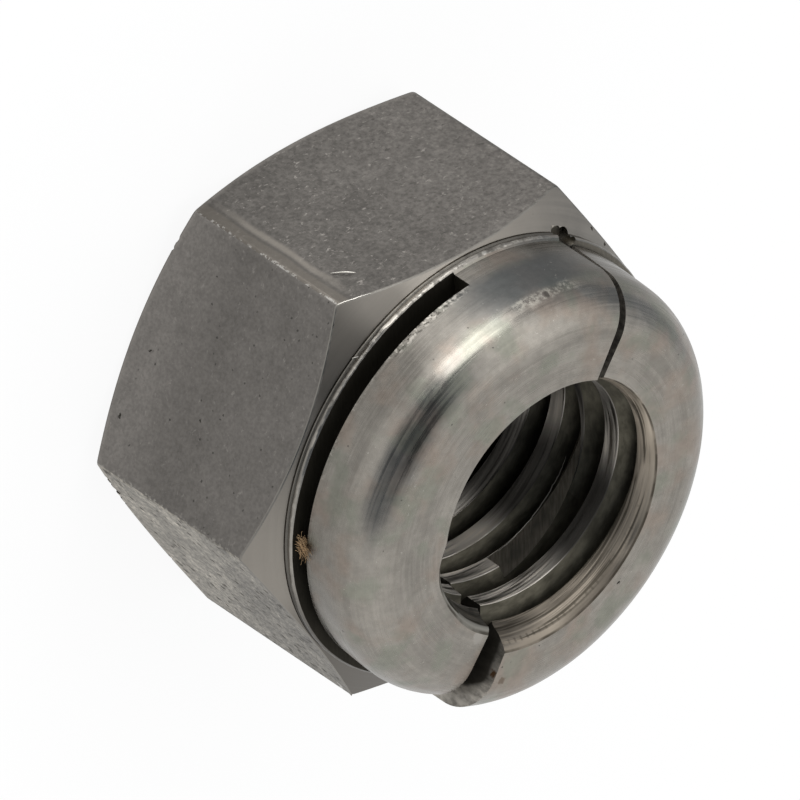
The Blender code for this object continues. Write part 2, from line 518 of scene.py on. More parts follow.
@dataclass(frozen=True)
class RolledFlat:
    """A flat of the hexagon bar, dull from rolling and pickling.

    The slope is painted light and shade: it makes one side of the flat darker and the other lighter, as the light
    falls, and gives how much X counts beside Z, then the two ends and their factors.
    The shoulder is the X of the long edge beside which rolling left a smooth strip.
    """

    name: str
    colour: Colour
    speckle: float
    glints: float
    mottle: float
    pits: float
    slope: tuple[float, float, float, float, float]
    pit_size: float = 0.1
    roughness: float = 0.45
    shoulder: float | None = None
    bare_corner: bool = False
    marks: tuple[Mark, ...] = ()

    def material(self) -> Material:
        """Build the finish.

        Returns:
            The material.
        """
        look = Look(self.name, self.colour, self.roughness)
        # painted light and shade: the flat darkens towards one side, as the light falls on it
        along, low, high, start, end = self.slope
        far = look.maths("ADD", look.height, look.times(look.part("X"), along))
        look.tone(look.span(far, low, high, start, end))
        cloud = look.sway(look.grain(0.4, 5.0, 0.6), self.mottle)
        fine = look.grain(7.0, 3.0, 0.6)
        patch = look.sway(look.grain(2.2), 0.5 * self.speckle)
        look.tone(look.times(cloud, look.times(look.sway(fine, self.speckle), patch)))
        # painted glints: the lighter specks are painted sparkle highlights, the darker ones dents of the grain
        streaked = look.vector("MULTIPLY", look.ragged(1.5, 0.5), (3.2, 3.2, 5.4))
        for shift, scale, detail, rough, tint, dull in (
            ((7.0, 3.0, 5.0), 1.0, 3.0, 0.65, 2.6, 0.4),
            ((1.0, 8.0, 2.0), 1.1, 2.0, 0.6, 0.45, 0.55),
        ):
            glint = look.grain(scale, detail, rough, look.vector("ADD", streaked, shift))
            look.lay(scaled(self.colour, tint), dull, look.span(glint, 0.6, 0.74), self.glints)
        pit = look.pits(2.2, 0.12, 0.5 * self.pit_size, 1.5 * self.pit_size, self.pits)
        look.lay(scaled(self.colour, 0.3), 0.7, pit, look.span(look.grain(1.3, 1.0), 0.44, 0.54))
        if self.shoulder is not None:
            self.roll(look)
        self.wear_and_edge_highlight(look)
        look.mark(self.marks)
        return look.done(fine, 0.004 + 0.03 * self.speckle)

    def wear_and_edge_highlight(self, look: Look) -> None:
        """Lay the light line beside the bearing chamfer, partly a worn edge and partly a painted highlight of its
        rounding, and the specks on a bare long edge.

        Args:
            look: The finish as it is so far.
        """
        # light line beside the bearing chamfer: partly worn metal, partly a painted highlight that the rounded edge
        # would catch
        edge = look.times(look.maths("SUBTRACT", look.reach(), 9.025), 0.445)
        above = look.span(look.maths("SUBTRACT", look.height, edge), 0.08, 0.3, 1.0, 0.0)
        look.lay(scaled(self.colour, 1.5), 0.4, above, look.span(look.grain(1.2, 3.0), 0.35, 0.6, 0.25, 0.75))
        if self.bare_corner:
            left = look.span(look.part("X"), -9.5, -9.0, 1.0, 0.0)
            specks = look.span(look.grain(3.2, 3.0, 0.7), 0.5, 0.62, 0.0, 0.7)
            look.lay((0.42, 0.40, 0.365), 0.4, look.band(look.part("Y"), 0.0, 0.05, 0.13), left, specks)

    def roll(self, look: Look) -> None:
        """Lay the smooth strip that rolling left beside one long edge, the painted shadow and painted highlight of its
        ridge, and its worn specks.

        Args:
            look: The finish as it is so far.
        """
        upper = look.span(look.part("Y"), 0.0, 1.0)
        across = look.maths("SUBTRACT", look.part("X"), self.shoulder)
        bent = look.maths("ADD", across, look.span(look.grain(0.7), 0.3, 0.7, -0.04, 0.04))
        smooth = look.span(bent, 0.45, 0.74, 1.0, 0.0)
        look.lay(scaled(self.colour, 0.86, 0.83, 0.78), 0.45, smooth, upper, 0.75)
        # painted shadow: a dark stripe beside the ridge
        look.lay(scaled(self.colour, 0.55), 0.5, look.band(bent, 0.63, 0.02, 0.12), upper, 0.45)
        # painted highlight: a light line along the ridge, brightest halfway up and fading at both ends
        middle = look.band(look.height, 5.0, 1.2, 3.4)
        look.lay(scaled(self.colour, 1.5, 1.47, 1.4), 0.4, look.band(bent, 0.86, 0.03, 0.22), upper, middle, 0.75)
        specks = look.span(look.grain(4.8, 3.0, 0.7), 0.5, 0.6)
        look.lay((0.40, 0.385, 0.36), 0.4, look.band(bent, 0.02, 0.05, 0.09), upper, specks)


@dataclass(frozen=True)
class TurnedSteel:
    """Steel fresh from the lathe, with fine rings and light handling marks.

    A painted light sector is a sector painted lighter or darker for how the light falls round the axis: azimuth, inner
    and outer half width, factor. A painted shade band is a sector at one height painted darker, as shade: azimuth,
    inner and outer half width, height, half height, factor.
    """

    name: str
    colour: Colour
    roughness: float
    lines: float = 9.0
    contrast: float = 0.06
    depth: float = 0.002
    worn: float = 0.06
    hue: float = 0.0
    pits: float = 0.0
    marks: tuple[Mark, ...] = ()
    painted_light_sectors: tuple[tuple[float, float, float, float], ...] = ()
    painted_shade_bands: tuple[tuple[float, float, float, float, float, float], ...] = ()

    def material(self) -> Material:
        """Build the finish.

        Returns:
            The material.
        """
        look = Look(self.name, self.colour, self.roughness)
        fine = look.rings(self.lines, 2.0, 3.0)
        cloud = look.grain(0.45, 4.0, 0.6)
        look.tone(look.sway(fine, self.contrast, 0.25, 0.75))
        look.tone(look.sway(look.rings(1.7, 1.1, 3.0), 0.7 * self.contrast))
        look.tone(look.sway(cloud, self.worn))
        if self.hue > 0.0:
            stain = look.grain(0.5, 3.0, where=look.moved(11.0, 0.0, 4.0))
            stain = look.span(stain, 0.45, 0.65, 0.0, self.hue)
            look.lay(scaled(self.colour, 1.04, 0.93, 0.88), self.roughness + 0.08, stain)
            stain = look.grain(0.6, 3.0, where=look.moved(0.0, 9.0, 2.0))
            stain = look.span(stain, 0.5, 0.68, 0.0, self.hue)
            look.lay(scaled(self.colour, 0.86, 0.94, 0.88), self.roughness + 0.06, stain)
        if self.pits > 0.0:
            chosen = look.span(look.grain(0.9, 1.0), 0.5, 0.58)
            look.lay(scaled(self.colour, 0.25), 0.7, look.pits(1.6, 0.08, 0.035, 0.08, self.pits), chosen)
        look.roughen(look.span(cloud, 0.35, 0.7, -0.03, 0.04))
        look.roughen(look.span(fine, 0.3, 0.7, -self.contrast, self.contrast))
        self.extra(look)
        # painted light and shade: sectors round the axis lighter or darker as the light falls, then bands at one
        # height darker as shade
        look.paint_light_round_axis(self.painted_light_sectors)
        for azimuth, inner, outer, height, half, tone in self.painted_shade_bands:
            there = look.times(look.sector(azimuth, inner, outer), look.band(look.height, height, half, 0.2))
            look.tone(look.span(there, 0.0, 1.0, 1.0, tone))
        look.mark(self.marks)
        return look.done(fine, self.depth)

    def extra(self, look: Look) -> None:
        """Lay what one kind of turned steel has beyond the rings."""


@dataclass(frozen=True)
class CollarSteel(TurnedSteel):
    """The collar's own finish: half-bright, with a torn and dirty edge along the arm slots."""

    slot_middle: float = 167.9
    slot_share: float = 0.299

    def extra(self, look: Look) -> None:
        """Lay the dark and the bright tears along the slots, which are worst near the upper slit.

        Args:
            look: The finish as it is so far.
        """
        upper = look.sector(109.0, 8.0, 17.0)
        rise = look.maths("SUBTRACT", look.height, look.times(upper, 0.16))
        near = look.span(rise, SLOT_CEILING + 0.03, SLOT_CEILING + 0.26, 1.0, 0.0)
        heading = look.vector("NORMALIZE", look.flat())
        freed = look.maths("ABSOLUTE", look.vector("DOT_PRODUCT", heading, polar(1.0, self.slot_middle)))
        near = look.times(near, look.maths("GREATER_THAN", freed, self.slot_share),
                          look.span(upper, 0.0, 1.0, 0.45, 1.0), look.span(look.reach(), 8.9, 9.1))
        torn = look.maths("ADD", look.grain(5.5, 3.0, 0.7), look.times(upper, 0.06))
        look.lay((0.03, 0.027, 0.022), 0.6, near, look.span(torn, 0.52, 0.66, 0.0, 0.8))
        light = look.maths("ADD", look.grain(5.0, where=look.moved(3.0, 8.0, 1.0)), look.times(upper, 0.08))
        look.lay((0.5, 0.47, 0.42), 0.35, near, look.span(light, 0.58, 0.7))
        self.stain(look)

    def stain(self, look: Look) -> None:
        """Lay the painted dark reflection beside the upper slit, the pale crust and grit under it, and flecks all
        over.

        Args:
            look: The finish as it is so far.
        """
        # painted reflection: a dark, bluish patch beside the upper slit
        place = look.ragged(0.7, 0.9)
        look.lay(scaled(self.colour, 0.42, 0.485, 0.56), self.roughness + 0.12,
                 look.spot(place, (1.0, 9.1, 12.35), 4.1, 0.7), look.band(look.part("Z", place), 12.5, 0.7, 0.8), 0.8)
        place = look.ragged(1.4, 0.35)
        look.lay((0.42, 0.40, 0.35), 0.6, look.band(look.part("Z", place), 13.70, 0.10, 0.20),
                 look.band(look.part("X", place), 0.95, 1.2, 0.8), look.span(look.part("Y"), 0.0, 1.0),
                 look.span(look.grain(5.0, 4.0, 0.7), 0.42, 0.6), 0.6)
        look.lay((0.06, 0.056, 0.05), 0.6, look.spot(look.ragged(5.0, 0.2), (1.05, 9.03, 13.72), 0.2, 0.5), 0.8)
        look.lay((0.46, 0.44, 0.40), 0.35, look.span(look.grain(8.0, 2.0, 0.6), 0.66, 0.74),
                 look.span(look.grain(0.7), 0.48, 0.62, 0.0, 0.5))
        look.tone(look.sway(look.grain(2.6, 4.0, 0.7), 0.08))


@dataclass(frozen=True)
class RidgeSteel(TurnedSteel):
    """Metal that a lathe tool pushed up beside the slots: bright, broken by dark nicks."""

    def extra(self, look: Look) -> None:
        """Lay the painted shade in the crease at the ridge's foot and on one side of the ridge, then its nicks and
        painted glints, which are strongest on the left.

        Args:
            look: The finish as it is so far.
        """
        # painted shade in the crease at the ridge's foot
        look.lay((0.03, 0.028, 0.022), 0.6, look.band(look.height, 10.19, 0.02, 0.08), 0.55)
        # painted shade on one side of the ridge, round the axis
        look.paint_light_round_axis(((-128.0, 22.0, 52.0, 0.4),))
        torn = look.span(look.sector(104.0, 26.0, 46.0), 0.0, 1.0, 0.2, 1.0)
        look.lay(scaled(self.colour, 0.3), 0.5, look.span(look.grain(3.0, 4.0, 0.65), 0.5, 0.62, 0.0, 0.6), torn)
        # painted glints: highlights that the ridge's beads would catch
        glint = look.span(look.grain(3.4, 3.0, where=look.moved(5.0, 1.0, 2.0)), 0.56, 0.68, 0.0, 0.8)
        look.lay((0.5, 0.475, 0.43), 0.34, glint, torn, look.span(look.height, 10.24, 10.34))


@dataclass(frozen=True)
class SunkSteel(TurnedSteel):
    """A countersink: brown grooves, a row of ticks where its tool chattered, and a dark line at the edge."""

    tick_rate: float = 118.0
    tick_sector: tuple[float, float, float] = (-1.25, 0.5, 0.4)

    def extra(self, look: Look) -> None:
        """Lay the paler left half, the painted light and shade round the axis and the painted shade deeper in, the
        grooves, the ticks and the dark line.

        Args:
            look: The finish as it is so far.
        """
        depth = look.maths("SUBTRACT", TOP, look.height)
        look.lay((0.25, 0.243, 0.215), 0.42, look.maths("GREATER_THAN", look.across_slit(), -SLIT_OFFSET), 0.8)
        # painted light and shade round the axis, and painted shade that deepens into the bore
        look.paint_light_round_axis(((-68.0, 5.0, 22.0, 0.5), (-5.0, 10.0, 30.0, 1.12), (36.0, 14.0, 44.0, 1.6)))
        look.tone(look.span(depth, 0.22, 0.75, 1.12, 0.62))
        inside = look.span(depth, 0.14, 0.3)
        grooves = look.rings(8.5, 0.8)
        look.lay((0.05, 0.043, 0.033), 0.5, look.span(grooves, 0.5, 0.6), inside, 0.85)
        look.lay(scaled(self.colour, 1.5), 0.5, look.span(grooves, 0.36, 0.46, 1.0, 0.0), inside, 0.5)
        heading = look.maths("ARCTAN2", look.part("Y"), look.part("X"))
        wave = look.span(look.maths("SINE", look.times(heading, self.tick_rate)), 0.2, 0.9)
        broken = look.times(wave, look.span(look.grain(1.6), 0.42, 0.58))
        row = look.band(depth, 0.30, 0.05, 0.07)
        look.lay((0.06, 0.052, 0.04), 0.5, row, broken, look.band(heading, *self.tick_sector), 0.5)
        thin = look.span(look.grain(1.1), 0.3, 0.55, 0.4, 1.0)
        look.lay((0.045, 0.038, 0.028), 0.55, look.span(depth, 0.03, 0.08, 1.0, 0.0), thin, 0.85)


@dataclass(frozen=True)
class CutSteel:
    """Steel as a saw or tap leaves it, with painted shade deep in its slots and gaps.

    Painted shade lies beyond a radius, or below two depths under the collar's outside, between which it grows.
    """

    name: str
    colour: Colour
    roughness: float
    direction: Point
    streak: float = 0.25
    depth: float = 0.008
    painted_shade_beyond: float | None = None
    painted_shade_below: tuple[float, float] | None = None
    marks: tuple[Mark, ...] = ()
    painted_shade: Colour = (0.027, 0.024, 0.018)
    ledge_top: float = 10.6

    def material(self) -> Material:
        """Build the finish.

        Returns:
            The material.
        """
        look = Look(self.name, self.colour, self.roughness)
        lines = look.grain(1.0, 3.0, 0.6, look.vector("MULTIPLY", look.where, self.direction))
        look.tone(look.sway(lines, self.streak))
        look.tone(look.span(look.grain(0.9, 3.0), 0.3, 0.7, 0.75, 1.15))
        # painted shade deep in the slots beyond a radius; the step at the outer edge of the right slot's floor, where
        # light reaches in, keeps a lighter painted shade
        if self.painted_shade_beyond is not None:
            right = look.maths("LESS_THAN", look.across_slit(), -SLIT_OFFSET)
            low = look.maths("LESS_THAN", look.height, self.ledge_top)
            lit_ledge = look.times(right, low, look.span(look.reach(), 8.7, 8.95))
            far = look.span(look.reach(), self.painted_shade_beyond, self.painted_shade_beyond + 1.0)
            look.lay(self.painted_shade, 0.7, far, look.maths("SUBTRACT", 1.0, lit_ledge), 0.92)
            look.lay((0.12, 0.112, 0.098), 0.5, lit_ledge, 0.75)
        # painted shadow deep in the slit's gap, under the collar's outside
        if self.painted_shade_below is not None:
            outer = look.span(look.reach(), 7.5, 8.7, 0.0, 0.8)
            depth = look.maths("SUBTRACT", self.below_surface(look, look.ragged(1.6, 0.2)), outer)
            look.lay(self.painted_shade, 0.7, look.span(depth, *self.painted_shade_below), 0.95)
        look.mark(self.marks)
        return look.done(lines, self.depth)

    @staticmethod
    def below_surface(look: Look, where: Socket) -> Socket:
        """Measure how deep places lie under the collar's rounded outside.

        Args:
            look: The finish that is being built.
            where: The places.

        Returns:
            Their depth in millimetres.
        """
        out = look.maths("MAXIMUM", look.maths("SUBTRACT", look.reach(where), COLLAR_RADIUS - ROUNDING), 0.0)
        over = look.maths("MAXIMUM", look.maths("SUBTRACT", look.part("Z", where), TOP - ROUNDING), 0.0)
        squares = look.maths("ADD", look.times(out, out), look.times(over, over))
        return look.maths("SUBTRACT", ROUNDING, look.maths("SQRT", squares))


def made(finish: RolledFlat | TurnedSteel | CutSteel) -> Material:
    """Give a field that holds a finish's material, which is built when its owner is made."""
    return field(default_factory=finish.material)


@dataclass(frozen=True)
class Finishes:
    """Every finish of the nut, built once."""

    grained: Material = made(RolledFlat(
        "flat_grained", (0.191, 0.178, 0.163), speckle=0.2, glints=0.6, mottle=0.09, pits=0.3,
        slope=(20.0, -60.0, 100.0, 0.74, 1.12), shoulder=-5.645,
    ))
    pitted: Material = made(RolledFlat(
        "flat_pitted", (0.220, 0.206, 0.190), speckle=0.11, glints=0.22, mottle=0.07, pits=0.8,
        slope=(0.0, 0.3, 5.0, 1.16, 0.83), bare_corner=True, marks=(
            Mark((-9.9, 1.9, 1.1), 0.12, CRUMBS), Mark((-8.47, 4.45, 1.36), 0.08, CRUMBS),
            Mark((-9.09, 3.36, 4.93), 0.07, CRUMBS),
        ),
    ))
    pale: Material = made(RolledFlat(
        "flat_pale", (0.296, 0.275, 0.238), speckle=0.45, glints=0.6, mottle=0.26, pits=0.95, pit_size=0.26,
        slope=(1.13, -8.5, 0.5, 1.4, 0.68), bare_corner=True, marks=(
            Mark((-5.79, -8.98, 8.89), 0.2, BARE, 0.35), Mark((-5.63, -9.25, 8.82), 0.16, BARE, 0.35),
        ),
    ))
    chamfer: Material = made(TurnedSteel(
        "turned_chamfer", (0.228, 0.211, 0.187), 0.38, contrast=0.04, pits=0.3,
        # painted light and shade: the chamfer is lighter or darker round the axis, as the light falls
        painted_light_sectors=((-122.0, 24.0, 46.0, 0.54), (131.0, 4.0, 15.0, 0.58), (99.0, 2.0, 11.0, 1.4),
               (176.0, 10.0, 26.0, 1.03), (34.0, 5.0, 18.0, 1.28)),
        marks=(Mark((6.85, 7.09, 9.81), 0.1, DARK), Mark((7.36, 6.14, 9.96), 0.08, DARK)),
    ))
    worn: Material = made(TurnedSteel("worn_edge", (0.22, 0.208, 0.188), 0.38, contrast=0.12))
    burr: Material = made(TurnedSteel("burr", (0.62, 0.595, 0.545), 0.4, contrast=0.08))
    collar: Material = made(CollarSteel(
        "turned_collar", (0.250, 0.233, 0.207), 0.26, contrast=0.09, depth=0.004, worn=0.12, hue=0.75, pits=0.85,
        marks=(
            Mark((3.3, -5.1, 14.85), 0.11, (0.03, 0.027, 0.022)),
            Mark((3.52, -5.61, 14.85), 0.09, (0.04, 0.036, 0.03)),
            Mark((-2.62, -7.02, 14.84), 0.2, (0.12, 0.085, 0.055), strength=0.6),
            Mark((-3.43, -4.79, 14.85), 0.4, (0.36, 0.34, 0.31), 0.4, 0.7),
        ),
    ))
    ridge: Material = made(RidgeSteel("rolled_ridge", (0.28, 0.262, 0.235), 0.32, lines=5.0))
    sunk: Material = made(SunkSteel("turned_countersink", (0.25, 0.218, 0.178), 0.5, contrast=0.2))
    thread: Material = made(CutSteel("tapped_flank", (0.08, 0.074, 0.057), 0.5, (1.5, 1.5, 9.0)))
    crest: Material = made(TurnedSteel(
        "bored_crest", (0.52, 0.49, 0.445), 0.62, contrast=0.36,
        # painted light and shade round the axis, and painted shade on the crest beside the right arm's slot
        painted_light_sectors=((-44.0, 12.0, 32.0, 0.15), (28.0, 10.0, 36.0, 0.55), (-130.0, 6.0, 18.0, 0.65)),
        painted_shade_bands=((-20.0, 50.0, 62.0, 11.35, 0.5, 0.35),),
    ))
    # the slots' finish: painted shade deep in the slots, and in the two round pecks
    slotted: Material = made(CutSteel(
        "sawn_slot", (0.26, 0.237, 0.192), 0.5, (9.0, 1.0, 2.0), painted_shade_beyond=6.4, marks=(
            Mark((4.84, 8.01, 10.2), 0.5, HOLLOW_SHADE, ragged=0.05), Mark((5.17, 7.81, 10.2), 0.5, HOLLOW_SHADE, ragged=0.05),
        ),
    ))
    # the slit's faces, with painted shadow deep in the gap
    sawn: Material = made(CutSteel(
        "sawn_face", (0.40, 0.375, 0.335), 0.45, (9.0, 1.0, 2.0), streak=0.4, painted_shade_below=(0.12, 0.5),
        marks=(Mark((-2.9, -6.6, 14.7), 0.2, (0.10, 0.055, 0.028)),),
    ))


@dataclass
class Hexagon:
    """The hexagon of the nut, cut from rolled bar and chamfered at both ends.

    A corner shift moves one corner along X. A chip is an azimuth, the normal of its flat and a size in millimetres.
    """

    finishes: Finishes
    across_flats: float = 19.0 * MM
    height: float = HEX_TOP * MM
    bearing_diameter: float = 18.05 * MM
    bearing_chamfer: float = 24.0
    collar_chamfer: float = 28.8
    foot_radius: float = 9.42 * MM
    long_edge_round: float = 0.2 * MM
    arc_round: float = 0.06 * MM
    segments: int = 180
    corner_shifts: tuple[tuple[float, float], ...] = ((60.0, 0.16 * MM), (120.0, -0.16 * MM))
    chips: tuple[tuple[float, float, float], ...] = (
        (186.6, 210.0, 0.26), (189.2, 210.0, 0.2), (192.4, 210.0, 0.3), (195.4, 210.0, 0.22), (199.0, 210.0, 0.14),
        (127.0, 150.0, 0.17), (129.2, 150.0, 0.13), (224.5, 210.0, 0.16),
    )

    @property
    def corner_radius(self) -> float:
        """Distance from the axis to a sharp corner."""
        return self.across_flats / math.sqrt(3.0)

    def blank(self) -> Piece:
        """Make the hexagon, chamfered and chipped, without its bore.

        Returns:
            The hexagon.
        """
        bar = self.bar()
        Bench.combine(bar, self.chamfers(), Cut.KEEP_SHARED)
        bar.data.materials.append(self.finishes.worn)
        Bench.apply(bar, "BEVEL", limit_method="ANGLE", angle_limit=math.radians(32.0), width=self.arc_round,
                    segments=2, use_clamp_overlap=False, loop_slide=False, material=len(bar.data.materials) - 1)
        for chip in self.flakes():
            Bench.combine(bar, chip, Cut.TAKE_AWAY)
        return bar

    def flakes(self) -> list[Piece]:
        """Make the cutters of the small uneven lumps that are chipped out of the edge of the bearing chamfer.

        Returns:
            The cutters.
        """
        cutters = []
        for azimuth, facing, size in self.chips:
            radius = self.across_flats / 2.0 / math.cos(math.radians(azimuth - facing))
            rise = (radius - self.bearing_diameter / 2.0) * math.tan(math.radians(self.bearing_chamfer))
            Bench.clear()
            bpy.ops.mesh.primitive_ico_sphere_add(subdivisions=2, radius=size * MM)
            flake = bpy.context.active_object
            for vertex in flake.data.vertices:
                vertex.co *= 1.0 + 0.6 * noise.noise(vertex.co / MM * 5.0 + Vector((azimuth, 0.0, 0.0)))
            flake.location = polar(radius + 0.25 * size * MM, azimuth, rise)
            cutters.append(Bench.dress(Bench.settle("flake"), self.finishes.slotted))
        return cutters

    def bar(self) -> Piece:
        """Make the bar, longer than the nut, with its six rolled edges and each pair of flats in its own finish.

        Returns:
            The hexagon bar.
        """
        length = self.height + 4.0 * MM
        Bench.clear()
        bpy.ops.mesh.primitive_cylinder_add(vertices=6, radius=self.corner_radius, depth=length,
                                            location=(0.0, 0.0, self.height / 2.0), rotation=(0.0, 0.0, math.pi / 6.0))
        bar = Bench.settle("lock_nut_body")
        for azimuth, shift in self.corner_shifts:
            corner = polar(self.corner_radius, azimuth)
            for vertex in bar.data.vertices:
                if (vertex.co.xy - corner.xy).length < MM:
                    vertex.co.x += shift
        for edge in bar.data.edges:
            first, last = (bar.data.vertices[index].co for index in edge.vertices)
            edge.select = abs(first.z - last.z) > length / 2.0
        bpy.ops.object.mode_set(mode="EDIT")
        bpy.ops.mesh.select_mode(type="EDGE")
        bpy.ops.mesh.bevel(offset=self.long_edge_round, segments=4, profile=0.5)
        bpy.ops.object.mode_set(mode="OBJECT")
        Bench.dress(bar, self.finishes.grained, self.finishes.pitted, self.finishes.pale)
        for face in bar.data.polygons:
            azimuth = azimuth_of(face.normal) % 180.0
            face.material_index = 0 if 60.0 < azimuth < 119.0 else (1 if azimuth >= 119.0 else 2)
        return bar

    def chamfers(self) -> Piece:
        """Make the turned solid, wider than the bar, whose two ends chamfer it.

        Returns:
            The solid.
        """
        belt = self.corner_radius + 1.0 * MM
        bearing = self.bearing_diameter / 2.0
        rise = (belt - bearing) * math.tan(math.radians(self.bearing_chamfer))
        fall = (belt - self.foot_radius) * math.tan(math.radians(self.collar_chamfer))
        shape = Bench.turned("chamfers", [
            (0.0, 0.0), (bearing - 0.08 * MM, 0.0), (bearing, 0.012 * MM), (bearing + 0.06 * MM, 0.04 * MM),
            (belt, rise), (belt, self.height - fall), (self.foot_radius, self.height), (0.0, self.height),
        ], self.segments)
        return Bench.dress(shape, self.finishes.chamfer)


@dataclass
class Collar:
    """The turned collar on its low lip."""

    finishes: Finishes
    radius: float = COLLAR_RADIUS * MM
    top: float = TOP * MM
    rounding: float = ROUNDING * MM
    ridge_top: float = 10.56 * MM
    tear_depth: float = 0.06 * MM
    tear_fineness: float = 2.1
    segments: int = 360
    lip: tuple[tuple[float, float], ...] = (
        (0.0, 9.5), (9.33, 9.5), (9.33, 10.07), (9.37, 10.10), (9.41, 10.13), (9.40, 10.17), (9.36, 10.21),
        (9.37, 10.25), (9.42, 10.29), (9.45, 10.36), (9.45, 10.43), (9.42, 10.49), (9.37, 10.53), (9.30, 10.60),
        (9.3, 11.0), (9.3, 11.46), (9.3, 11.6), (9.3, 12.0), (9.3, 12.5),
    )

    def blank(self) -> Piece:
        """Make the collar before its cuts, with a foot that reaches into the hexagon.

        Returns:
            The collar, with its ridge in its own finish.
        """
        points = [(radius * MM, height * MM) for radius, height in self.lip]
        for step in range(19):
            angle = math.radians(5.0 * step)
            points.append((self.radius - self.rounding + self.rounding * math.cos(angle),
                           self.top - self.rounding + self.rounding * math.sin(angle)))
        points += [(radius * MM, self.top) for radius in (7.0, 6.5, 6.2, 5.9, 5.5, 0.0)]
        collar = Bench.dress(Bench.turned("collar", points, self.segments), self.finishes.collar, self.finishes.ridge)
        for face in collar.data.polygons:
            face.material_index = 1 if face.center.z < self.ridge_top else 0
        self.tear(collar)
        return collar

    def tear(self, collar: Piece) -> None:
        """Make the pushed-up ridge uneven where the metal tore, most of all on its upper left.

        Args:
            collar: The collar, whose points are moved.
        """
        for vertex in collar.data.vertices:
            share = max(0.0, 1.0 - abs(vertex.co.z / MM - 10.38) / 0.2)
            away = abs(azimuth_of(vertex.co) - 104.0)
            share *= 0.35 + 0.65 * min(1.0, max(0.0, (46.0 - away) / 20.0))
            if share > 0.0 and vertex.co.xy.length > 9.0 * MM:
                where = vertex.co / MM * self.tear_fineness
                out = noise.noise(where) * self.tear_depth * share
                up = noise.noise(where + Vector((9.0, 4.0, 7.0))) * self.tear_depth * 0.7 * share
                vertex.co.xy *= 1.0 + out / vertex.co.xy.length
                vertex.co.z += up


@dataclass(frozen=True)
class Rim:
    """The collar's mouth at one azimuth: radius of its edge in millimetres, width and how stepped it is."""

    azimuth: float
    edge: float
    width: float = 1.0
    stepped: float = 0.0


